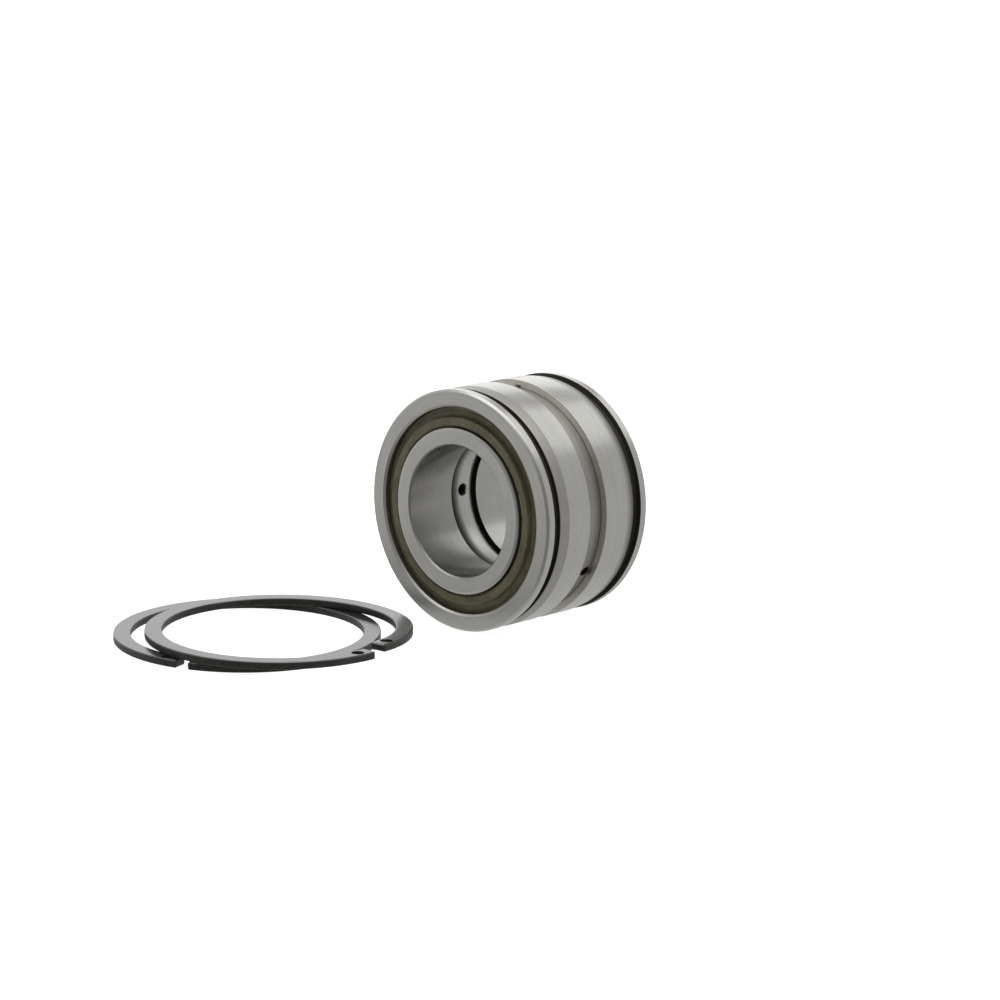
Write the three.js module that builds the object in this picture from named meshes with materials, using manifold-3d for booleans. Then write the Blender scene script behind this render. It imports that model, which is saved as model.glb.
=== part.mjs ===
// Sealed double-row full-complement cylindrical roller bearing, with its two loose snap rings.
// Millimetres, +Z up. The bearing stands on its outside diameter with its axis along Y and its
// front towards -Y. The snap rings lie flat on the same surface, in front and to the left of it.
import * as THREE from 'three';
import { mergeVertices } from 'three/addons/utils/BufferGeometryUtils.js';
import Module from 'manifold-3d';

const wasm = await Module();
wasm.setup();

// Outer ring: radii and distances along the axis, measured from the middle of the bearing.
const outerRadius = 27.5;
const outerHalfWidth = 16.5;
const outerChamfer = 0.5;
const snapGrooveStart = outerHalfWidth - 2.25;
const snapGrooveWidth = 2.15;
const snapGrooveRadius = 26.0;
const leadInDrop = 0.4;
const leadInEnd = outerHalfWidth - 7.0;
const oilGrooveHalfWidth = 2.7;
const oilGrooveRadius = 25.8;
const mouthRadius = 23.55;
const mouthChamfer = 0.4;
const mouthChamferDrop = 0.5;
const sealGrooveRadius = 24.1;
const ribRadius = 22.0;
const ribHalfWidth = 2.8;

// Rollers: two full rows with no cage between them.
const rollerCount = 21;
const rollerRadius = 3.0;
const rollerLength = 10.0;
const rollerChamfer = 0.3;
const pitchRadius = 20.3;
const rollerEndGap = 0.05;
const radialPlay = 0.03;
const rowCentre = ribHalfWidth + 2 * rollerEndGap + rollerLength / 2;

// Inner ring: two halves that meet a little behind the middle plane, where the band holds them.
const boreRadius = 15.0;
const innerHalfWidth = 17.0;
const boreChamfer = 0.35;
const flangeRadius = 18.9;
const flangeChamfer = 0.2;
const flangeChamferDrop = 0.6;
const middleFlangeRadius = 18.75;
const splitPlane = 0.68;
const splitGap = 0.01;
const recessHalfWidth = 4.0;
const recessRadius = 16.0;
const hookStart = 1.85;
const hookWidth = 0.6;
const hookRadius = 16.45;
const hookPlay = 0.1;

// Retaining band: a rolled-in steel strip, hollowed towards its rims, with two hooks behind it.
const bandRadius = 15.35;
const bandFlatHalfWidth = 1.6;
const bandHalfWidth = 3.3;
const bandRimRadius = 15.8;
const bandBackRadius = 15.93;

// Contact seals, snapped into the outer ring.
const sealFront = 16.45;
const sealStep = 14.85;
const sealBeadFront = 14.7;
const sealBeadBack = 13.35;
const sealBeadRadius = 24.05;
const sealFlangeRadius = 23.45;
const sealHubRadius = 21.26;
const sealNeckRadius = 19.4;
const sealLipRadius = 19.0;
const sealGroovePlay = 0.05;

// Oil holes: three through the outer ring and three through the split of the inner ring.
const oilHoleCount = 3;
const oilHoleRadius = 1.2;
const outerHoleStart = Math.PI / 2;
const outerHoleAlong = 1.4;
const innerHoleStart = Math.PI;

// Snap rings: flat wire, open at one place, with a hole near each end.
const snapOuterRadius = 29.8;
const snapInnerRadius = 26.0;
const snapThickness = 1.7;
const snapGap = THREE.MathUtils.degToRad(5.5);
const plierHoleRadius = 1.35;
const plierHoleFromEnd = THREE.MathUtils.degToRad(7);
const stackGap = 0.02;
const springLift = 0.95;
const springLength = THREE.MathUtils.degToRad(85);

// Places of the snap rings, from the middle of the bearing.
const lowerRing = { x: -27.8, y: -55.0, opening: THREE.MathUtils.degToRad(-70.6) };
const upperRing = { x: -20.1, y: -52.5, opening: THREE.MathUtils.degToRad(4.5) };

// Number of flats on each kind of turned surface.
const ringSides = 48;
const rollerSides = 10;
const holeSides = 12;

// The origin is under the middle of the whole set, so the bearing stands off to one side of it.
const setLeft = lowerRing.x - snapOuterRadius;
const setFront = lowerRing.y - snapOuterRadius;
const bearingX = -(setLeft + outerRadius) / 2;
const bearingY = -(setFront + innerHalfWidth) / 2;

const groundSteel = new THREE.MeshStandardMaterial({ color: 0xa9a9a4, roughness: 0.35, metalness: 1 });
const rollerSteel = new THREE.MeshStandardMaterial({ color: 0xb5b5b2, roughness: 0.2, metalness: 1 });
const bandSteel = new THREE.MeshStandardMaterial({ color: 0xa3a29c, roughness: 0.4, metalness: 1 });
const blackSteel = new THREE.MeshStandardMaterial({ color: 0x2b2b2a, roughness: 0.4, metalness: 0.8 });
const sealRubber = new THREE.MeshStandardMaterial({ color: 0x5b573d, roughness: 0.45, metalness: 0 });

// A hollow turned surface has flats, so its corners lie outside the radius that must stay clear.
const hollow = (radius) => radius / Math.cos(Math.PI / ringSides);

// A body turned about Y from a closed outline of [radius, distance along the axis] points.
function turned(outline, sides = ringSides) {
  const points = [...outline, outline[0]].map(([radius, along]) => new THREE.Vector2(radius, along));
  return new THREE.LatheGeometry(points, sides);
}

// The same outline on the other side of the middle plane, still running the same way round.
const mirrored = (outline) => outline.map(([radius, along]) => [radius, -along]).reverse();

function toSolid(geometry) {
  const bare = geometry.clone();
  bare.deleteAttribute('normal');
  bare.deleteAttribute('uv');
  const merged = mergeVertices(bare, 1e-5);
  return new wasm.Manifold(new wasm.Mesh({
    numProp: 3,
    vertProperties: new Float32Array(merged.attributes.position.array),
    triVerts: new Uint32Array(merged.index.array),
  }));
}

function toGeometry(solid) {
  const mesh = solid.getMesh();
  const geometry = new THREE.BufferGeometry();
  geometry.setAttribute('position', new THREE.BufferAttribute(mesh.vertProperties, 3));
  geometry.setIndex(new THREE.BufferAttribute(mesh.triVerts, 1));
  return geometry;
}

// Drills evenly spaced radial holes through a turned body, at a distance along its axis.
function drilled(geometry, firstAngle, along) {
  let solid = toSolid(geometry);
  for (let i = 0; i < oilHoleCount; i += 1) {
    const angle = firstAngle + (i * 2 * Math.PI) / oilHoleCount;
    const drill = new THREE.CylinderGeometry(oilHoleRadius, oilHoleRadius, outerRadius, holeSides);
    drill.translate(0, outerRadius / 2 + boreRadius / 2, 0);
    drill.rotateX(Math.PI / 2);
    drill.rotateY(Math.PI / 2 - angle);
    drill.translate(0, along, 0);
    solid = solid.subtract(toSolid(drill));
  }
  return toGeometry(solid);
}

function outerRing() {
  const grooveEnd = snapGrooveStart - snapGrooveWidth;
  const raceway = hollow(pitchRadius + rollerRadius + radialPlay);
  const rear = [
    [outerRadius - outerChamfer, outerHalfWidth],
    [hollow(mouthRadius + mouthChamferDrop), outerHalfWidth],
    [hollow(mouthRadius), outerHalfWidth - mouthChamfer],
    [hollow(mouthRadius), sealBeadFront + sealGroovePlay],
    [hollow(sealGrooveRadius), sealBeadFront + sealGroovePlay],
    [hollow(sealGrooveRadius), sealBeadBack - sealGroovePlay],
    [raceway, sealBeadBack - sealGroovePlay],
    [raceway, ribHalfWidth],
    [hollow(ribRadius), ribHalfWidth],
  ];
  const outside = [
    [oilGrooveRadius, oilGrooveHalfWidth],
    [outerRadius, oilGrooveHalfWidth],
    [outerRadius, leadInEnd],
    [outerRadius - leadInDrop, grooveEnd],
    [snapGrooveRadius, grooveEnd],
    [snapGrooveRadius, snapGrooveStart],
    [outerRadius, snapGrooveStart],
    [outerRadius, outerHalfWidth - outerChamfer],
  ];
  const rearHalf = [...outside, ...rear];
  return drilled(turned([...rearHalf, ...mirrored(rearHalf)]), outerHoleStart, outerHoleAlong);
}

// One half of the inner ring, as its rear half; the middle plane of the band is at bandMiddle.
function innerRingOutline(bandMiddle) {
  const raceway = pitchRadius - rollerRadius - radialPlay;
  const hookEnd = bandMiddle + hookStart + hookPlay;
  const hookFoot = bandMiddle + hookStart - hookWidth - hookPlay;
  return [
    [middleFlangeRadius, bandMiddle + splitGap],
    [middleFlangeRadius, ribHalfWidth + rollerEndGap],
    [raceway, ribHalfWidth + rollerEndGap],
    [raceway, rowCentre + rollerLength / 2 + rollerEndGap],
    [flangeRadius, rowCentre + rollerLength / 2 + rollerEndGap],
    [flangeRadius, innerHalfWidth - flangeChamfer],
    [flangeRadius - flangeChamferDrop, innerHalfWidth],
    [hollow(boreRadius + boreChamfer), innerHalfWidth],
    [hollow(boreRadius), innerHalfWidth - boreChamfer],
    [hollow(boreRadius), bandMiddle + recessHalfWidth],
    [hollow(recessRadius), bandMiddle + recessHalfWidth],
    [hollow(recessRadius), hookEnd],
    [hollow(hookRadius + hookPlay), hookEnd],
    [hollow(hookRadius + hookPlay), hookFoot],
    [hollow(recessRadius), hookFoot],
    [hollow(recessRadius), bandMiddle + splitGap],
  ];
}

const drilledAtSplit = (geometry) => drilled(geometry, innerHoleStart, splitPlane);
const innerRingRear = () => drilledAtSplit(turned(innerRingOutline(splitPlane)));
const innerRingFront = () => drilledAtSplit(turned(mirrored(innerRingOutline(-splitPlane))));

function retainingBand() {
  const rearHalf = [
    [bandBackRadius, hookStart - hookWidth],
    [hookRadius, hookStart - hookWidth],
    [hookRadius, hookStart],
    [bandBackRadius, hookStart],
    [bandBackRadius, bandHalfWidth],
    [bandRimRadius, bandHalfWidth],
    [bandRadius, bandFlatHalfWidth],
  ];
  const outline = [...rearHalf, ...mirrored(rearHalf)];
  return drilledAtSplit(turned(outline.map(([radius, along]) => [radius, along + splitPlane])));
}

function sealRearOutline() {
  return [
    [sealBeadRadius, sealBeadBack],
    [sealBeadRadius, sealBeadFront],
    [sealFlangeRadius, sealBeadFront],
    [sealFlangeRadius, sealStep],
    [sealHubRadius, sealStep],
    [sealHubRadius, sealFront],
    [sealNeckRadius, sealFront],
    [sealNeckRadius, sealStep],
    [sealLipRadius, sealBeadFront],
    [sealLipRadius, sealBeadBack + rollerChamfer],
    [sealNeckRadius, sealBeadBack],
  ];
}

const sealRear = () => turned(sealRearOutline());
const sealFrontSide = () => turned(mirrored(sealRearOutline()));

function roller() {
  const half = rollerLength / 2;
  const points = [
    [0, -half],
    [rollerRadius - rollerChamfer, -half],
    [rollerRadius, rollerChamfer - half],
    [rollerRadius, half - rollerChamfer],
    [rollerRadius - rollerChamfer, half],
    [0, half],
  ].map(([radius, along]) => new THREE.Vector2(radius, along));
  return new THREE.LatheGeometry(points, rollerSides);
}

// A round hole outline near one end of a snap ring.
function plierHole(angle) {
  const middle = (snapOuterRadius + snapInnerRadius) / 2;
  const points = [];
  for (let i = 0; i < holeSides; i += 1) {
    const turn = (-i * 2 * Math.PI) / holeSides;
    points.push(new THREE.Vector2(
      middle * Math.cos(angle) + plierHoleRadius * Math.cos(turn),
      middle * Math.sin(angle) + plierHoleRadius * Math.sin(turn),
    ));
  }
  return new THREE.Path(points);
}

// A snap ring lying flat, with its gap centred on the given direction.
function snapRing(opening) {
  const start = opening + snapGap / 2;
  const end = opening - snapGap / 2 + 2 * Math.PI;
  const shape = new THREE.Shape();
  shape.absarc(0, 0, snapOuterRadius, start, end, false);
  shape.absarc(0, 0, snapInnerRadius, end, start, true);
  shape.holes.push(plierHole(start + plierHoleFromEnd), plierHole(end - plierHoleFromEnd));
  return new THREE.ExtrudeGeometry(shape, {
    depth: snapThickness,
    bevelEnabled: false,
    curveSegments: ringSides / 2,
  });
}

// The end that follows the gap springs up a little, as a ring coiled from flat wire does.
function springUp(geometry, opening) {
  const position = geometry.attributes.position;
  for (let i = 0; i < position.count; i += 1) {
    const direction = Math.atan2(position.getY(i), position.getX(i)) - opening - snapGap / 2;
    const fromEnd = THREE.MathUtils.euclideanModulo(direction + 1e-4, 2 * Math.PI);
    const share = Math.max(0, 1 - fromEnd / springLength);
    position.setZ(i, position.getZ(i) + springLift * share ** 1.5);
  }
  return geometry;
}

const set = new THREE.Group();
const bearing = new THREE.Group();
bearing.position.set(bearingX, bearingY, outerRadius);
set.add(bearing);

function addPiece(group, name, geometry, material) {
  const piece = new THREE.Mesh(geometry, material);
  piece.name = name;
  group.add(piece);
  return piece;
}

function addRow(label, along, firstAngle) {
  for (let i = 0; i < rollerCount; i += 1) {
    const angle = firstAngle + (i * 2 * Math.PI) / rollerCount;
    const name = `roller_${label}_${String(i + 1).padStart(2, '0')}`;
    const piece = addPiece(bearing, name, roller(), rollerSteel);
    piece.position.set(pitchRadius * Math.cos(angle), along, pitchRadius * Math.sin(angle));
  }
}

addPiece(bearing, 'outer_ring', outerRing(), groundSteel);
addPiece(bearing, 'inner_ring_front', innerRingFront(), groundSteel);
addPiece(bearing, 'inner_ring_rear', innerRingRear(), groundSteel);
addPiece(bearing, 'retaining_band', retainingBand(), bandSteel);
addPiece(bearing, 'seal_front', sealFrontSide(), sealRubber);
addPiece(bearing, 'seal_rear', sealRear(), sealRubber);
addRow('front', -rowCentre, Math.PI / 2);
addRow('rear', rowCentre, Math.PI / 2 + Math.PI / rollerCount);

const lower = addPiece(set, 'snap_ring_lower', snapRing(lowerRing.opening), blackSteel);
lower.position.set(bearingX + lowerRing.x, bearingY + lowerRing.y, 0);

const upperShape = springUp(snapRing(upperRing.opening), upperRing.opening);
const upper = addPiece(set, 'snap_ring_upper', upperShape, blackSteel);
upper.position.set(bearingX + upperRing.x, bearingY + upperRing.y, snapThickness + stackGap);

export default set;
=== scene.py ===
"""Looks of a sealed double-row full-complement roller bearing and its two loose snap rings.

Every turned piece is made round its own middle with its axis along Y, and is then put in place.
Lengths in the outlines are millimetres, as on a drawing; meshes are in metres.
"""
import math

import bpy
from mathutils import Matrix, Vector


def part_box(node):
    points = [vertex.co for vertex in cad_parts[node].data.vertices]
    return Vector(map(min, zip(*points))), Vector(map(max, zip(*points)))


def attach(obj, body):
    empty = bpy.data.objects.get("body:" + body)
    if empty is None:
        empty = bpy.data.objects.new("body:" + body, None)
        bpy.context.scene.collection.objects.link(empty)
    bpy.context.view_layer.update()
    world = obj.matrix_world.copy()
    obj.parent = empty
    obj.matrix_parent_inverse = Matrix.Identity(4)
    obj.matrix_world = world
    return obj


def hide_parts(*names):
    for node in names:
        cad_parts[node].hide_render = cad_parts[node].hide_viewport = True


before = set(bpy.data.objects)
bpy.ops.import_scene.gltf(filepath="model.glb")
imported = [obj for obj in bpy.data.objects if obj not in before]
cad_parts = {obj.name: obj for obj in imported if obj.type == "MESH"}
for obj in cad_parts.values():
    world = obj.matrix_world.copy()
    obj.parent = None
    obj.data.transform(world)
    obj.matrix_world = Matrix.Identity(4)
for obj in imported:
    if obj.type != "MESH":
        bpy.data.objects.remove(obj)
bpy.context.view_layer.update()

MM = 0.001
RING_SIDES = 288
ROLLER_SIDES = 48
HOLE_SIDES = 40

# Outer ring.
OUTER_RADIUS = 27.5
OUTER_HALF = 16.5
OUTER_CHAMFER = 0.5
SNAP_GROOVE_OUT = 14.25
SNAP_GROOVE_IN = 12.1
SNAP_GROOVE_RADIUS = 26.0
LEAD_IN_RADIUS = 27.1
LEAD_IN_END = 9.5
OIL_GROOVE_HALF = 2.7
OIL_GROOVE_RADIUS = 25.8
MOUTH_RADIUS = 23.55
MOUTH_CHAMFER = 0.4
MOUTH_CHAMFER_DROP = 0.5
SEAL_GROOVE_RADIUS = 24.1
SEAL_GROOVE_OUT = 14.75
SEAL_GROOVE_IN = 13.3
OUTER_RACEWAY = 23.33
RIB_RADIUS = 22.0
RIB_HALF = 2.8

# Rollers.
ROLLER_COUNT = 21
ROLLER_RADIUS = 3.0
ROLLER_LENGTH = 10.0
ROLLER_EDGE = 0.35
ROLLER_CENTRE_RADIUS = 0.5
ROLLER_CENTRE_DEPTH = 0.12
PITCH_RADIUS = 20.3
ROW_CENTRE = 7.9
ROLLER_PLAY = 0.05

# Inner ring halves and the band that holds them together.
BORE_RADIUS = 15.0
INNER_HALF = 17.0
BORE_CHAMFER = 0.35
FLANGE_RADIUS = 18.9
FLANGE_CHAMFER = 0.2
FLANGE_CHAMFER_DROP = 0.6
MIDDLE_FLANGE_RADIUS = 18.75
INNER_RACEWAY = 17.27
SPLIT_PLANE = 0.68
SPLIT = 0.01
RECESS_HALF = 4.0
RECESS_RADIUS = 16.0
HOOK_RADIUS = 16.45
HOOK_OUT = 1.85
HOOK_IN = 1.25
HOOK_PLAY = 0.1
BAND_RADIUS = 15.35
BAND_FLAT_HALF = 1.6
BAND_HALF = 3.3
BAND_RIM = 15.8
BAND_BACK = 15.93

# Seals.
SEAL_FRONT = 16.45
SEAL_STEP = 14.85
SEAL_BEAD_OUT = 14.7
SEAL_BEAD_IN = 13.35
SEAL_BEAD_RADIUS = 24.05
SEAL_FLANGE = 23.45
SEAL_LINE_OUT = 22.9
SEAL_LINE = 22.75
SEAL_LINE_IN = 22.55
SEAL_LINE_DEPTH = 0.15
SEAL_HUB = 21.26
SEAL_NECK = 19.4
SEAL_LIP = 19.0
SEAL_LIP_FRONT = 16.05
SEAL_SLOPE = 0.15
SEAL_DRAFT = 0.05

# Oil holes: three in the outer ring, three in the inner ring.
HOLE_RADIUS = 1.2
HOLE_FLARE = 0.3
OUTER_HOLES_FROM = math.radians(90)
OUTER_HOLES_ALONG = 1.4
INNER_HOLES_FROM = math.radians(180)

# Snap rings.
SNAP_OUTER = 29.8
SNAP_INNER = 26.0
SNAP_THICK = 1.7
SNAP_EDGE = 0.26
SNAP_STEPS = 300
SNAP_GAP = math.radians(5.5)
PLIER_HOLE = 1.35
PLIER_FROM_END = math.radians(7.0)
STACK_GAP = 0.02
SPRING_LIFT = 0.95
SPRING_LENGTH = math.radians(85)
LOWER = {"x": -27.8, "y": -55.0, "opening": math.radians(-70.6), "base": 0.0, "lift": 0.0}
UPPER = {
    "x": -20.1,
    "y": -52.5,
    "opening": math.radians(4.5),
    "base": SNAP_THICK + STACK_GAP,
    "lift": SPRING_LIFT,
}

ring_low, ring_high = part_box("outer_ring")
CENTRE = (ring_low + ring_high) / 2


# ---------------------------------------------------------------- materials

OIL_TINT = (0.22, 0.205, 0.165, 1)
STEEL_TINT = (1.0, 0.99, 0.94, 1)
STEEL_UNEVEN = 0.03
SEAL_DARK = (0.067, 0.059, 0.030, 1)
SEAL_LIGHT = (0.098, 0.090, 0.050, 1)
# Painted shade: the dark radial marks on the seal near its hub.
SEAL_SHADE = (0.018, 0.017, 0.010, 1)
SEAL_SHADE_IN = 19.5
SEAL_SHADE_OUT = 20.9
STROKE_SLANT = math.radians(38)


def node(tree, kind, inputs=None, **settings):
    """Adds a shader node. An input is a number, a colour, or another node's output."""
    made = tree.nodes.new("ShaderNode" + kind)
    for key, value in settings.items():
        setattr(made, key, value)
    for key, value in (inputs or {}).items():
        if isinstance(value, bpy.types.NodeSocket):
            tree.links.new(value, made.inputs[key])
        else:
            made.inputs[key].default_value = value
    return made


def maths(tree, operation, a, b=0.0):
    return node(tree, "Math", {0: a, 1: b}, operation=operation).outputs[0]


def spread(tree, value, low, high, to_low, to_high):
    """Maps value from low..high to to_low..to_high, smoothly and clamped."""
    sockets = {"Value": value, "From Min": low, "From Max": high, "To Min": to_low, "To Max": to_high}
    return node(tree, "MapRange", sockets, interpolation_type="SMOOTHSTEP").outputs["Result"]


def mixed(tree, share, a, b, blend="MIX"):
    """The colour a with the given share of b mixed or multiplied in."""
    made = node(tree, "Mix", data_type="RGBA", blend_type=blend)
    for socket, value in ((made.inputs[0], share), (made.inputs[6], a), (made.inputs[7], b)):
        if isinstance(value, bpy.types.NodeSocket):
            tree.links.new(value, socket)
        else:
            socket.default_value = value
    return made.outputs[2]


def noise(tree, vector, scale, detail=3.0, w=None):
    """Fractal noise, in four dimensions where w is given."""
    sockets = {"Vector": vector, "Scale": scale, "Detail": detail, "Roughness": 0.55}
    if w is not None:
        sockets["W"] = w
    dimensions = "4D" if w is not None else "3D"
    return node(tree, "TexNoise", sockets, noise_dimensions=dimensions).outputs[0]


def own_place(tree):
    return node(tree, "TexCoord").outputs["Object"]


def radius_about_y(tree, x, z):
    squares = maths(tree, "ADD", maths(tree, "MULTIPLY", x, x), maths(tree, "MULTIPLY", z, z))
    return maths(tree, "SQRT", squares)


def blended(tree, a, share_a, b, share_b):
    """The weighted sum of two values."""
    return maths(tree, "ADD", maths(tree, "MULTIPLY", a, share_a), maths(tree, "MULTIPLY", b, share_b))


def turned_marks(tree, per_mm, stretch, detail=3.0):
    """Fine rings round the piece's own Y axis, on its flat and its round surfaces alike."""
    x, y, z = node(tree, "SeparateXYZ", {0: own_place(tree)}).outputs
    radius = radius_about_y(tree, x, z)
    safe = maths(tree, "MAXIMUM", radius, 1e-5)
    along = maths(tree, "MULTIPLY", y, per_mm / MM)
    out = maths(tree, "MULTIPLY", radius, per_mm / MM)
    around = node(
        tree,
        "CombineXYZ",
        {
            0: maths(tree, "MULTIPLY", maths(tree, "DIVIDE", x, safe), stretch),
            1: maths(tree, "MULTIPLY", maths(tree, "DIVIDE", z, safe), stretch),
            2: out,
        },
    )
    return noise(tree, around.outputs[0], 1.0, detail, w=along)


def bump(tree, height, distance, normal=None):
    sockets = {"Height": height, "Distance": distance, "Strength": 1.0}
    if normal is not None:
        sockets["Normal"] = normal
    return node(tree, "Bump", sockets).outputs[0]


def base_material(name, **constants):
    """A Principled material. Constants go straight to the shader's own sockets."""
    material = bpy.data.materials.new(name)
    material.use_nodes = True
    tree = material.node_tree
    shader = tree.nodes["Principled BSDF"]
    for key, value in constants.items():
        shader.inputs[key.replace("_", " ")].default_value = value
    return material, tree, shader


def steel(name, light, dark, rough, marks, depth=0.00004, film=0.05):
    """Machined steel: rings from the tool or the wheel under a thin uneven film of oil.

    marks are rings per millimetre, depth their height in millimetres, and film the oil's share.
    """
    material, tree, shader = base_material(name, Metallic=1.0)
    fine = turned_marks(tree, marks, 3.0)
    broad = turned_marks(tree, marks / 6, 2.0, 2.0)
    patches = noise(tree, own_place(tree), 90.0, 4.0)
    smears = noise(tree, own_place(tree), 420.0, 5.0)
    line = blended(tree, fine, 0.6, broad, 0.4)
    shade = spread(tree, line, 0.35, 0.65, 0.0, 1.0)
    colour = mixed(tree, shade, dark, light)
    oil = spread(tree, patches, 0.4, 0.75, 0.0, film)
    colour = mixed(tree, oil, colour, OIL_TINT, "MULTIPLY")
    colour = mixed(tree, 1.0, colour, STEEL_TINT, "MULTIPLY")
    tree.links.new(colour, shader.inputs["Base Color"])
    uneven = blended(tree, smears, 0.5, line, 0.5)
    roughness = spread(tree, uneven, 0.3, 0.7, rough - STEEL_UNEVEN, rough + STEEL_UNEVEN)
    tree.links.new(roughness, shader.inputs["Roughness"])
    tree.links.new(bump(tree, line, depth * MM), shader.inputs["Normal"])
    return material


def painted_shade_along_axis(material, start, end, share):
    """Paints shade into a steel: darker with the distance along the axis."""
    tree = material.node_tree
    socket = tree.nodes["Principled BSDF"].inputs["Base Color"]
    along = node(tree, "SeparateXYZ", {0: own_place(tree)}).outputs[1]
    kept = spread(tree, along, start * MM, end * MM, 1.0, share)
    tone = node(tree, "CombineColor", {0: kept, 1: kept, 2: kept}).outputs[0]
    tree.links.new(mixed(tree, 1.0, socket.links[0].from_socket, tone, "MULTIPLY"), socket)
    return material


def grey(value, warm=0.0):
    return (value * (1 + warm), value, value * (1 - warm), 1)


def seal_rubber():
    """Olive polyurethane, a little translucent, with mould flow and a faint painted radial shade where the
    gaps between the rollers would show through.
    """
    material, tree, shader = base_material(
        "seal_elastomer_look",
        Metallic=0.0,
        Subsurface_Weight=0.25,
        Subsurface_Scale=0.0012,
        Subsurface_Radius=(1.0, 0.9, 0.45),
        Specular_IOR_Level=0.36,
    )
    place = own_place(tree)
    flow = noise(tree, place, 260.0, 4.0)
    grain = noise(tree, place, 2600.0, 3.0)
    rings = turned_marks(tree, 2.2, 2.5)
    x, _, z = node(tree, "SeparateXYZ", {0: place}).outputs
    angle = maths(tree, "ARCTAN2", x, z)
    wave = maths(tree, "COSINE", maths(tree, "MULTIPLY", angle, float(ROLLER_COUNT)))
    gap = spread(tree, wave, 0.80, 1.0, 0.0, 1.0)
    radius = radius_about_y(tree, x, z)
    near_hub = spread(tree, radius, SEAL_SHADE_IN * MM, SEAL_SHADE_OUT * MM, 1.0, 0.0)
    patchy = spread(tree, noise(tree, place, 70.0, 2.0), 0.45, 0.6, 0.0, 0.55)
    # Painted shade: dark radial marks near the hub, one per roller pitch.
    painted_gap_shade = maths(tree, "MULTIPLY", maths(tree, "MULTIPLY", gap, near_hub), patchy)
    tone = blended(tree, flow, 0.6, rings, 0.4)
    colour = mixed(tree, spread(tree, tone, 0.35, 0.65, 0.0, 1.0), SEAL_DARK, SEAL_LIGHT)
    colour = mixed(tree, painted_gap_shade, colour, SEAL_SHADE)
    tree.links.new(colour, shader.inputs["Base Color"])
    tree.links.new(spread(tree, grain, 0.3, 0.7, 0.34, 0.52), shader.inputs["Roughness"])
    rough = bump(tree, grain, 0.006 * MM)
    tree.links.new(bump(tree, tone, 0.03 * MM, rough), shader.inputs["Normal"])
    return material


def black_oxide(name, rough, colour_low, colour_high, strokes, ior):
    """Blackened spring steel: a thin dark oxide over fine slanting grinding strokes."""
    material, tree, shader = base_material(name, Metallic=0.0, IOR=ior)
    place = own_place(tree)
    slanted = node(
        tree,
        "Mapping",
        {"Vector": place, "Rotation": (0.0, 0.0, STROKE_SLANT), "Scale": (60.0, strokes / MM, 900.0)},
    ).outputs[0]
    stroke = noise(tree, slanted, 1.0, 4.0)
    mottle = noise(tree, place, 500.0, 5.0)
    speck = noise(tree, place, 3800.0, 2.0)
    tone = blended(tree, stroke, 0.55, mottle, 0.45)
    colour = mixed(tree, spread(tree, tone, 0.35, 0.65, 0.0, 1.0), colour_low, colour_high)
    tree.links.new(colour, shader.inputs["Base Color"])
    tree.links.new(spread(tree, tone, 0.3, 0.7, rough - 0.05, rough + 0.05), shader.inputs["Roughness"])
    fine = bump(tree, speck, 0.0004 * MM)
    tree.links.new(bump(tree, stroke, 0.0004 * MM, fine), shader.inputs["Normal"])
    return material


GROUND = steel("ground_steel_look", grey(0.55), grey(0.485), 0.24, 14.0, 0.00005)
# The bore is painted darker than the ground outside as painted shade, the front half darker still.
BORE_FRONT_SHADED = steel("bore_front_painted_shade_steel_look", grey(0.38), grey(0.34), 0.26, 14.0, 0.00004, 0.10)
BORE_REAR_SHADED = steel("bore_rear_painted_shade_steel_look", grey(0.47), grey(0.43), 0.26, 14.0, 0.00004, 0.10)
FACE = steel("face_ground_steel_look", grey(0.60), grey(0.53), 0.32, 9.0, 0.0001)
# Turned steel, also kept dark as painted shade: on the outer ring's front lead-in, and on the inner ring's
# flange rims and bore chamfers.
TURNED_AND_SHADED = steel("turned_steel_and_painted_shade_look", grey(0.38, 0.01), grey(0.36, 0.01), 0.40, 8.0, 0.0001)
# The rear lead-in: a lighter copy of the turned steel, with painted shade that darkens it towards the snap
# groove.
RUN_OUT_SHADED = steel("run_out_painted_shade_steel_look", grey(0.49), grey(0.47), 0.34, 8.0, 0.0001)
painted_shade_along_axis(RUN_OUT_SHADED, LEAD_IN_END, SNAP_GROOVE_IN, 0.36)
OIL_GROOVE = steel("groove_floor_steel_look", grey(0.40, 0.02), grey(0.36, 0.02), 0.46, 5.0, 0.0003, 0.1)
# The oil groove's walls: the floor's turned steel painted much lighter, a painted highlight.
GROOVE_WALL_LIT = steel("groove_wall_painted_highlight_steel_look", grey(0.86, 0.01), grey(0.80, 0.01), 0.46, 5.0, 0.0003, 0.1)
DARK_GROOVE = steel(
    "scaled_steel_look", (0.165, 0.157, 0.142, 1), (0.135, 0.127, 0.114, 1), 0.5, 6.0, 0.0003, 0.2
)
EDGE = steel("polished_edge_look", grey(0.58), grey(0.54), 0.34, 10.0, 0.00005)
MOUTH = steel("mouth_steel_look", grey(0.42, 0.02), grey(0.36, 0.02), 0.45, 8.0, 0.0002)
RACEWAY = steel("raceway_steel_look", grey(0.50), grey(0.46), 0.16, 16.0)
# Near-black steel over the whole bore recess round the band: painted shade.
RECESS_SHADED = steel("recess_painted_shade_steel_look", grey(0.08, 0.02), grey(0.05, 0.02), 0.45, 6.0, 0.0002)
BAND = steel("band_steel_painted_shade_look", grey(0.55), grey(0.49), 0.33, 7.0, 0.0001)
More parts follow.
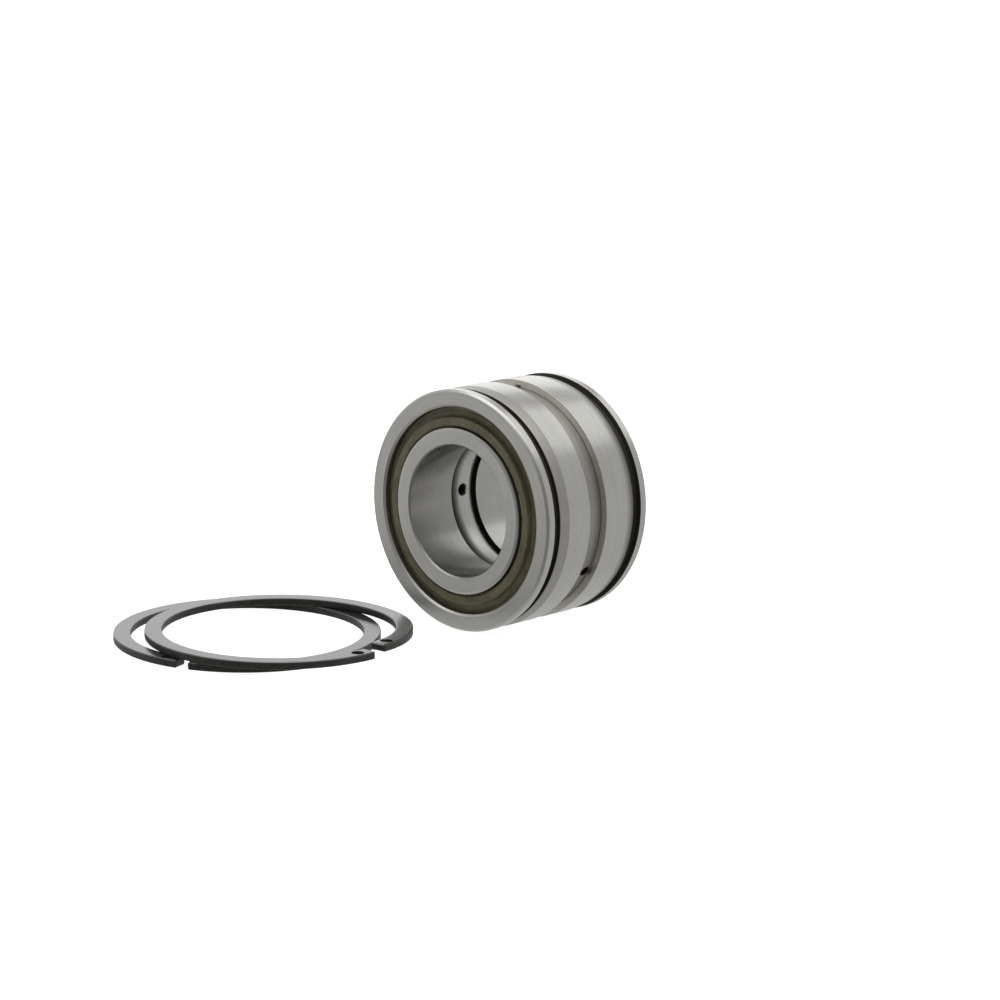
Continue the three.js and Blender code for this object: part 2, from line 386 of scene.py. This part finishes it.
# Painted shade on the band's front flank: darker towards the front.
painted_shade_along_axis(BAND, 0.0, -2.8, 0.2)
ROLLER = steel("roller_steel_look", grey(0.56), grey(0.51), 0.14, 12.0)
SEAL = seal_rubber()
OXIDE_FACE = black_oxide("black_oxide_face_look", 0.17, grey(0.012), grey(0.026), 9.0, 2.0)
OXIDE_EDGE = black_oxide(
    "black_oxide_edge_look", 0.42, (0.009, 0.0085, 0.007, 1), (0.02, 0.0185, 0.015, 1), 4.0, 1.45
)


# ---------------------------------------------------------------- meshes


def rounded(outline):
    """Turns each corner (radius, along, fillet, material after it, material on it) into an arc.

    Returns (radius, along, material of the stretch that follows).
    """
    points = []
    for i, (radius, along, fillet, after, *corner) in enumerate(outline):
        here = Vector((radius, along))
        back = Vector(outline[i - 1][:2]) - here
        on = Vector(outline[(i + 1) % len(outline)][:2]) - here
        half = back.angle(on) / 2
        if fillet <= 0 or half > math.radians(88):
            points.append((radius, along, after))
            continue
        reach = min(fillet / math.tan(half), 0.45 * min(back.length, on.length))
        size = reach * math.tan(half)
        middle = here + (back.normalized() + on.normalized()).normalized() * size / math.sin(half)
        first = here + back.normalized() * reach - middle
        last = here + on.normalized() * reach - middle
        turn = first.angle_signed(last)
        steps = max(2, math.ceil(abs(turn) / math.radians(18)))
        on_arc = corner[0] if corner else after
        for k in range(steps + 1):
            spot = middle + Matrix.Rotation(-turn * k / steps, 2) @ first
            points.append((spot.x, spot.y, after if k == steps else on_arc))
    return points


def both_halves(rear):
    """The outline of a piece that is the same on both sides of its middle plane."""
    count = len(rear)
    front = []
    for i in range(count - 1, -1, -1):
        radius, along, fillet, _, *corner = rear[i]
        before = rear[i - 1][3]
        front.append((radius, -along, fillet, before, *corner))
    return rear + front


def finish_mesh(obj, sharp=math.radians(32)):
    """Smooth shading that keeps flat surfaces flat, with the result left in the mesh."""
    mesh = obj.data
    mesh.shade_smooth()
    mesh.set_sharp_from_angle(angle=sharp)
    weigh = obj.modifiers.new("weigh", "WEIGHTED_NORMAL")
    weigh.keep_sharp = True
    apply_modifiers(obj)
    return obj


def apply_modifiers(obj):
    """Replaces the object's mesh by what its modifiers make of it."""
    graph = bpy.context.evaluated_depsgraph_get()
    graph.update()
    old = obj.data
    obj.data = bpy.data.meshes.new_from_object(obj.evaluated_get(graph))
    obj.modifiers.clear()
    bpy.data.meshes.remove(old)
    obj.data.name = obj.name


def make_object(name, vertices, faces, slots, materials):
    mesh = bpy.data.meshes.new(name)
    mesh.from_pydata(vertices, [], faces)
    for material in materials:
        mesh.materials.append(material)
    mesh.polygons.foreach_set("material_index", slots)
    mesh.update()
    obj = bpy.data.objects.new(name, mesh)
    bpy.context.scene.collection.objects.link(obj)
    return obj


def loops_about_y(places, sides):
    """A loop of vertices in metres round the Y axis at each (radius, along)."""
    return [
        (
            radius * MM * math.cos(2 * math.pi * j / sides),
            along * MM,
            radius * MM * math.sin(2 * math.pi * j / sides),
        )
        for radius, along in places
        for j in range(sides)
    ]


def tube_faces(loops, sides, closed=False):
    """The faces between each loop of vertices and the next, and back to the first if closed."""
    faces = []
    for i in range(loops if closed else loops - 1):
        a, b = i * sides, (i + 1) % loops * sides
        for j in range(sides):
            k = (j + 1) % sides
            faces.append((a + j, b + j, b + k, a + k))
    return faces


def end_faces(loops, sides):
    """The two flat ends of an open tube."""
    last = (loops - 1) * sides
    return [tuple(range(sides)), tuple(range(last + sides - 1, last - 1, -1))]


def turned(name, points, sides=RING_SIDES):
    """A body of revolution about Y from a closed outline of (radius, along, material)."""
    materials = list(dict.fromkeys(material for _, _, material in points))
    vertices = loops_about_y([point[:2] for point in points], sides)
    faces = tube_faces(len(points), sides, closed=True)
    slots = [materials.index(material) for _, _, material in points for _ in range(sides)]
    following = points[1:] + points[:1]
    area = sum(r * next_y - next_r * y for (r, y, _), (next_r, next_y, _) in zip(points, following))
    if area < 0:
        faces = [face[::-1] for face in faces]
    return make_object(name, vertices, faces, slots, materials)


def drill(places, material):
    """A solid cutter about Y, from a list of (radius, along) from one end to the other."""
    faces = tube_faces(len(places), HOLE_SIDES) + end_faces(len(places), HOLE_SIDES)
    vertices = loops_about_y(places, HOLE_SIDES)
    return make_object("drill", vertices, faces, [0] * len(faces), [material])


def cut(obj, cutter, matrix):
    """Takes the cutter, placed by the matrix, out of obj, and removes the cutter."""
    cutter.matrix_world = matrix
    bpy.context.view_layer.update()
    boolean = obj.modifiers.new("cut", "BOOLEAN")
    boolean.operation = "DIFFERENCE"
    boolean.solver = "EXACT"
    boolean.object = cutter
    apply_modifiers(obj)
    bpy.data.objects.remove(cutter)


def drill_oil_holes(obj, first_angle, outline, material, along):
    """Three radial holes. The outline's distances are radii of the bearing."""
    for i in range(3):
        angle = first_angle + i * 2 * math.pi / 3
        aim = Matrix.Rotation(math.pi / 2 - angle, 4, "Y") @ Matrix.Rotation(math.pi / 2, 4, "X")
        cut(obj, drill(outline, material), Matrix.Translation((0, along * MM, 0)) @ aim)


# ---------------------------------------------------------------- bearing


def place(obj, body, slot, *nodes, where=CENTRE):
    """Puts a finished piece in the frame, in the stead of its CAD nodes."""
    obj.location = where
    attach(obj, body)
    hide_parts(*nodes)
    return obj


def outer_ring():
    rear = [
        # The oil groove's walls take the painted highlight.
        (OIL_GROOVE_RADIUS, OIL_GROOVE_HALF, 0.12, GROOVE_WALL_LIT, DARK_GROOVE),
        (OUTER_RADIUS, OIL_GROOVE_HALF, 0.1, GROUND, EDGE),
        # The rear lead-in carries painted shade towards the snap groove.
        (OUTER_RADIUS, LEAD_IN_END, 0.0, RUN_OUT_SHADED),
        (LEAD_IN_RADIUS, SNAP_GROOVE_IN, 0.12, DARK_GROOVE, RUN_OUT_SHADED),
        (SNAP_GROOVE_RADIUS, SNAP_GROOVE_IN, 0.12, DARK_GROOVE),
        (SNAP_GROOVE_RADIUS, SNAP_GROOVE_OUT, 0.12, DARK_GROOVE),
        (OUTER_RADIUS, SNAP_GROOVE_OUT, 0.08, GROUND, EDGE),
        (OUTER_RADIUS, OUTER_HALF - OUTER_CHAMFER, 0.1, EDGE),
        (OUTER_RADIUS - OUTER_CHAMFER, OUTER_HALF, 0.1, FACE),
        (MOUTH_RADIUS + MOUTH_CHAMFER_DROP, OUTER_HALF, 0.08, EDGE),
        (MOUTH_RADIUS, OUTER_HALF - MOUTH_CHAMFER, 0.08, MOUTH),
        (MOUTH_RADIUS, SEAL_GROOVE_OUT, 0.08, MOUTH),
        (SEAL_GROOVE_RADIUS, SEAL_GROOVE_OUT, 0.08, MOUTH),
        (SEAL_GROOVE_RADIUS, SEAL_GROOVE_IN, 0.08, MOUTH),
        (OUTER_RACEWAY, SEAL_GROOVE_IN, 0.1, RACEWAY),
        (OUTER_RACEWAY, RIB_HALF, 0.1, RACEWAY),
        (RIB_RADIUS, RIB_HALF, 0.15, OIL_GROOVE),
    ]
    # The front lead-in takes the darker turned steel, a painted-shade copy of the rear one.
    front = [
        (radius, along, fillet, *(TURNED_AND_SHADED if m == RUN_OUT_SHADED else m for m in rest))
        for radius, along, fillet, *rest in both_halves(rear)[len(rear):]
    ]
    obj = turned("outer_ring_finish", rounded(rear + front))
    hole = [
        (HOLE_RADIUS, RIB_RADIUS - 1.0),
        (HOLE_RADIUS, OIL_GROOVE_RADIUS - 0.1),
        (HOLE_RADIUS + HOLE_FLARE, OIL_GROOVE_RADIUS + 0.2),
        (HOLE_RADIUS + HOLE_FLARE, OIL_GROOVE_RADIUS + 0.6),
    ]
    drill_oil_holes(obj, OUTER_HOLES_FROM, hole, DARK_GROOVE, OUTER_HOLES_ALONG)
    return place(finish_mesh(obj), "outer_ring", "ground_steel", "outer_ring")


def inner_ring_half(side, node_name):
    """One half of the inner ring. side is +1 for the rear half and -1 for the front half."""
    split = side * SPLIT_PLANE
    end = ROW_CENTRE + ROLLER_LENGTH / 2 + ROLLER_PLAY
    half = [
        (MIDDLE_FLANGE_RADIUS, split + SPLIT, 0.1, OIL_GROOVE),
        (MIDDLE_FLANGE_RADIUS, RIB_HALF + ROLLER_PLAY, 0.2, RACEWAY),
        (INNER_RACEWAY, RIB_HALF + ROLLER_PLAY, 0.1, RACEWAY),
        (INNER_RACEWAY, end, 0.1, RACEWAY),
        # The flange rim and the bore chamfer take the darker turned steel as painted shade.
        (FLANGE_RADIUS, end, 0.2, TURNED_AND_SHADED),
        (FLANGE_RADIUS, INNER_HALF - FLANGE_CHAMFER, 0.08, FACE),
        (FLANGE_RADIUS - FLANGE_CHAMFER_DROP, INNER_HALF, 0.1, FACE),
        (BORE_RADIUS + BORE_CHAMFER, INNER_HALF, 0.1, TURNED_AND_SHADED),
        (BORE_RADIUS, INNER_HALF - BORE_CHAMFER, 0.1, BORE_FRONT_SHADED if side < 0 else BORE_REAR_SHADED),
        # The recess is near-black as painted shade.
        (BORE_RADIUS, split + RECESS_HALF, 0.08, RECESS_SHADED),
        (RECESS_RADIUS, split + RECESS_HALF, 0.1, RECESS_SHADED),
        (RECESS_RADIUS, split + HOOK_OUT + HOOK_PLAY, 0.05, RECESS_SHADED),
        (HOOK_RADIUS + HOOK_PLAY, split + HOOK_OUT + HOOK_PLAY, 0.05, RECESS_SHADED),
        (HOOK_RADIUS + HOOK_PLAY, split + HOOK_IN - HOOK_PLAY, 0.05, RECESS_SHADED),
        (RECESS_RADIUS, split + HOOK_IN - HOOK_PLAY, 0.05, RECESS_SHADED),
        (RECESS_RADIUS, split + SPLIT, 0.05, FACE),
    ]
    if side < 0:
        half = both_halves(half)[len(half):]
    obj = turned(node_name + "_finish", rounded(half))
    hole = [(HOLE_RADIUS, RECESS_RADIUS - 0.9), (HOLE_RADIUS, MIDDLE_FLANGE_RADIUS + 1.0)]
    drill_oil_holes(obj, INNER_HOLES_FROM, hole, DARK_GROOVE, SPLIT_PLANE)
    return place(finish_mesh(obj), "inner_ring", "ground_steel", node_name)


def retaining_band():
    rear = [
        (BAND_BACK, HOOK_IN, 0.05, BAND),
        (HOOK_RADIUS, HOOK_IN, 0.05, BAND),
        (HOOK_RADIUS, HOOK_OUT, 0.05, BAND),
        (BAND_BACK, HOOK_OUT, 0.05, BAND),
        (BAND_BACK, BAND_HALF, 0.04, EDGE),
        (BAND_RIM, BAND_HALF, 0.04, BAND),
        (BAND_RADIUS, BAND_FLAT_HALF, 6.0, BAND),
    ]
    outline = [(radius, along + SPLIT_PLANE, *rest) for radius, along, *rest in both_halves(rear)]
    obj = turned("retaining_band_finish", rounded(outline))
    hole = [
        (HOLE_RADIUS + 0.55, BAND_RADIUS - 0.6),
        (HOLE_RADIUS + 0.25, BAND_RADIUS),
        (HOLE_RADIUS, BAND_RADIUS + 0.3),
        (HOLE_RADIUS, HOOK_RADIUS + 0.6),
    ]
    drill_oil_holes(obj, INNER_HOLES_FROM, hole, EDGE, SPLIT_PLANE)
    return place(finish_mesh(obj), "inner_ring", "band_steel", "retaining_band")


def seal(side, node_name):
    """A moulded contact seal: bead in the groove, flange with a fine line, raised hub and a lip."""
    outline = [
        (SEAL_BEAD_RADIUS, SEAL_BEAD_IN, 0.25, SEAL),
        (SEAL_BEAD_RADIUS, SEAL_BEAD_OUT, 0.3, SEAL),
        (SEAL_FLANGE, SEAL_BEAD_OUT, 0.05, SEAL),
        (SEAL_FLANGE, SEAL_STEP, 0.1, SEAL),
        (SEAL_LINE_OUT, SEAL_STEP, 0.1, SEAL),
        (SEAL_LINE, SEAL_STEP - SEAL_LINE_DEPTH, 0.1, SEAL),
        (SEAL_LINE_IN, SEAL_STEP, 0.1, SEAL),
        (SEAL_HUB + SEAL_SLOPE, SEAL_STEP, 0.3, SEAL),
        (SEAL_HUB, SEAL_FRONT, 0.3, SEAL),
        (SEAL_NECK + SEAL_DRAFT, SEAL_FRONT, 0.2, SEAL),
        (SEAL_NECK, SEAL_LIP_FRONT, 0.1, SEAL),
        (SEAL_LIP + SEAL_DRAFT, SEAL_LIP_FRONT - 0.1, 0.08, SEAL),
        (SEAL_LIP, SEAL_BEAD_OUT, 0.05, SEAL),
        (SEAL_LIP, SEAL_BEAD_IN + 0.3, 0.12, SEAL),
        (SEAL_NECK, SEAL_BEAD_IN, 0.1, SEAL),
    ]
    if side < 0:
        outline = both_halves(outline)[len(outline):]
    obj = turned(node_name + "_finish", rounded(outline))
    return place(finish_mesh(obj), "outer_ring", "seal_elastomer", node_name)


def roller_mesh():
    """One roller with rounded edges and a shallow turning centre in each end."""
    half = ROLLER_LENGTH / 2
    flat = ROLLER_RADIUS - ROLLER_EDGE
    rear = [
        (0.02, half - ROLLER_CENTRE_DEPTH),
        (ROLLER_CENTRE_RADIUS, half - ROLLER_CENTRE_DEPTH),
        (ROLLER_CENTRE_RADIUS + ROLLER_CENTRE_DEPTH, half),
        (flat, half),
    ]
    for degrees in range(18, 91, 18):
        turn = math.radians(degrees)
        rear.append((flat + ROLLER_EDGE * math.sin(turn), half - ROLLER_EDGE + ROLLER_EDGE * math.cos(turn)))
    points = [(r, y, ROLLER) for r, y in rear] + [(r, -y, ROLLER) for r, y in reversed(rear)]
    obj = turned("roller", points, ROLLER_SIDES)
    finish_mesh(obj)
    mesh = obj.data
    bpy.data.objects.remove(obj)
    return mesh


def roller_row(mesh, label, along, first_angle):
    for i in range(ROLLER_COUNT):
        angle = first_angle + i * 2 * math.pi / ROLLER_COUNT
        node_name = f"roller_{label}_{i + 1:02d}"
        obj = bpy.data.objects.new(node_name + "_finish", mesh)
        bpy.context.scene.collection.objects.link(obj)
        offset = Vector((PITCH_RADIUS * math.cos(angle), along, PITCH_RADIUS * math.sin(angle)))
        place(obj, node_name, "roller_steel", node_name, where=CENTRE + offset * MM)


# ---------------------------------------------------------------- snap rings


def spring(ring, from_end):
    """Height that the end after the gap springs up, at an angle from that end."""
    return ring["lift"] * max(0.0, 1 - from_end / SPRING_LENGTH) ** 1.5


def snap_ring(node_name, ring):
    """Flat wire swept round the ring, with softened edges and softened ends."""
    corners = [
        (SNAP_OUTER, 0.0, SNAP_EDGE, OXIDE_EDGE),
        (SNAP_OUTER, SNAP_THICK, SNAP_EDGE, OXIDE_FACE),
        (SNAP_INNER, SNAP_THICK, SNAP_EDGE, OXIDE_EDGE, OXIDE_FACE),
        (SNAP_INNER, 0.0, SNAP_EDGE, OXIDE_FACE, OXIDE_EDGE),
    ]
    section = rounded(corners)
    materials = [OXIDE_FACE, OXIDE_EDGE]
    length = 2 * math.pi - SNAP_GAP
    inset = SNAP_EDGE / SNAP_OUTER
    stations = [(0.0, 1.0), (inset, 0.0)]
    stations += [(inset + (length - 2 * inset) * k / SNAP_STEPS, 0.0) for k in range(1, SNAP_STEPS)]
    stations += [(length - inset, 0.0), (length, 1.0)]
    middle, rise = (SNAP_OUTER + SNAP_INNER) / 2, SNAP_THICK / 2
    vertices = []
    for from_end, pinch in stations:
        angle = ring["opening"] + SNAP_GAP / 2 + from_end
        shrink_r = 1 - pinch * SNAP_EDGE / ((SNAP_OUTER - SNAP_INNER) / 2)
        shrink_z = 1 - pinch * SNAP_EDGE / rise
        for radius, height, _ in section:
            r = middle + (radius - middle) * shrink_r
            z = rise + (height - rise) * shrink_z + spring(ring, from_end)
            vertices.append((r * MM * math.cos(angle), r * MM * math.sin(angle), z * MM))
    count = len(section)
    faces = tube_faces(len(stations), count) + end_faces(len(stations), count)
    slots = [materials.index(section[j][2]) for _ in stations[1:] for j in range(count)]
    slots += [materials.index(OXIDE_EDGE)] * 2
    obj = make_object(node_name + "_finish", vertices, [f[::-1] for f in faces], slots, materials)
    for from_end in (PLIER_FROM_END, length - PLIER_FROM_END):
        angle = ring["opening"] + SNAP_GAP / 2 + from_end
        lift = spring(ring, from_end)
        hole = [
            (PLIER_HOLE + 0.6, lift - 0.5),
            (PLIER_HOLE + 0.1, lift),
            (PLIER_HOLE, lift + 0.1),
            (PLIER_HOLE, lift + SNAP_THICK - 0.1),
            (PLIER_HOLE + 0.1, lift + SNAP_THICK),
            (PLIER_HOLE + 0.6, lift + SNAP_THICK + 0.5),
        ]
        spot = Vector((middle * math.cos(angle), middle * math.sin(angle), 0)) * MM
        upright = Matrix.Translation(spot) @ Matrix.Rotation(math.pi / 2, 4, "X")
        cut(obj, drill(hole, OXIDE_EDGE), upright)
    where = Vector((CENTRE.x + ring["x"] * MM, CENTRE.y + ring["y"] * MM, ring["base"] * MM))
    return place(finish_mesh(obj), node_name, "black_steel", node_name, where=where)


# ---------------------------------------------------------------- stage


CAMERA_PLACE = (0.524856, -0.507029, 0.192286)
CAMERA_AZIMUTH = math.radians(43.457)
CAMERA_ELEVATION = math.radians(12.495)
CAMERA_ROLL = math.radians(0.7336)
CAMERA_LENS = 120.377
FLOOR_RADIUS = 15.0
FLOOR_SIDES = 96
FLOOR_GLOW = 0.92
TOWARD_CAMERA = (0.5, -0.866, 0.0)


def camera():
    """A long lens from the front right, a little above, turned slightly about its own axis."""
    level = math.cos(CAMERA_ELEVATION)
    forward = Vector(
        (-math.sin(CAMERA_AZIMUTH) * level, math.cos(CAMERA_AZIMUTH) * level, -math.sin(CAMERA_ELEVATION))
    )
    right = Vector((math.cos(CAMERA_AZIMUTH), math.sin(CAMERA_AZIMUTH), 0))
    up = right.cross(forward)
    right, up = (
        right * math.cos(CAMERA_ROLL) + up * math.sin(CAMERA_ROLL),
        up * math.cos(CAMERA_ROLL) - right * math.sin(CAMERA_ROLL),
    )
    data = bpy.data.cameras.new("camera")
    data.sensor_width = 36.0
    data.lens = CAMERA_LENS
    data.clip_start, data.clip_end = 0.01, 100.0
    obj = bpy.data.objects.new("camera", data)
    bpy.context.scene.collection.objects.link(obj)
    turn = Matrix((right, up, -forward)).transposed().to_4x4()
    obj.matrix_world = Matrix.Translation(CAMERA_PLACE) @ turn
    bpy.context.scene.camera = obj


def floor():
    """A wide pale floor that the camera never sees the end of."""
    turns = [2 * math.pi * j / FLOOR_SIDES for j in range(FLOOR_SIDES)]
    vertices = [(FLOOR_RADIUS * math.cos(a), FLOOR_RADIUS * math.sin(a), 0.0) for a in turns]
    material, tree, shader = base_material(
        "floor_look",
        Metallic=0.0,
        Specular_IOR_Level=0.0,
        Emission_Color=grey(1.0),
        Emission_Strength=FLOOR_GLOW,
    )
    speck = noise(tree, own_place(tree), 60.0, 2.0)
    tree.links.new(mixed(tree, speck, grey(0.50), grey(0.52)), shader.inputs["Base Color"])
    tree.links.new(spread(tree, speck, 0.2, 0.8, 0.7, 0.9), shader.inputs["Roughness"])
    obj = make_object("floor", vertices, [tuple(range(FLOOR_SIDES))], [0], [material])
    obj.visible_glossy = False


def softbox(name, where, target, size, radiance):
    """A square area light that gives the same radiance whatever its size."""
    data = bpy.data.lights.new(name, "AREA")
    data.shape = "RECTANGLE"
    data.size, data.size_y = size
    data.energy = radiance * math.pi * size[0] * size[1]
    obj = bpy.data.objects.new(name, data)
    bpy.context.scene.collection.objects.link(obj)
    toward = Vector(target) - Vector(where)
    obj.rotation_mode = "QUATERNION"
    obj.location = where
    obj.rotation_quaternion = toward.to_track_quat("-Z", "Y")
    obj.visible_camera = False


def studio():
    """An even pale room, darker towards the front, with a bright backdrop and soft light above."""
    world = bpy.data.worlds.new("world")
    world.use_nodes = True
    tree = world.node_tree
    direction = node(tree, "TexCoord").outputs["Generated"]
    toward = node(tree, "VectorMath", {0: direction, 1: TOWARD_CAMERA}, operation="DOT_PRODUCT")
    strength = spread(tree, toward.outputs["Value"], 0.1, 0.85, 0.6, 0.25)
    tree.links.new(strength, tree.nodes["Background"].inputs["Strength"])
    tree.nodes["Background"].inputs["Color"].default_value = grey(1.0)
    bpy.context.scene.world = world
    softbox("overhead", (0.0, -0.1, 1.6), (0.0, 0.0, 0.0), (2.4, 2.0), 1.3)
    softbox("high_back", (0.35, 1.9, 1.8), (0.0, 0.0, 0.05), (1.7, 1.0), 0.52)
    softbox("backdrop", (-1.9, 2.0, 0.8), (0.0, 0.0, 0.1), (3.4, 1.6), 0.70)
    bpy.context.scene.view_settings.view_transform = "Standard"
    bpy.context.scene.view_settings.look = "None"


camera()
outer_ring()
inner_ring_half(-1, "inner_ring_front")
inner_ring_half(1, "inner_ring_rear")
retaining_band()
seal(-1, "seal_front")
seal(1, "seal_rear")
shared_roller = roller_mesh()
roller_row(shared_roller, "front", -ROW_CENTRE, math.pi / 2)
roller_row(shared_roller, "rear", ROW_CENTRE, math.pi / 2 + math.pi / ROLLER_COUNT)  # half a pitch on
snap_ring("snap_ring_lower", LOWER)
snap_ring("snap_ring_upper", UPPER)
floor()
studio()

bpy.context.view_layer.update()
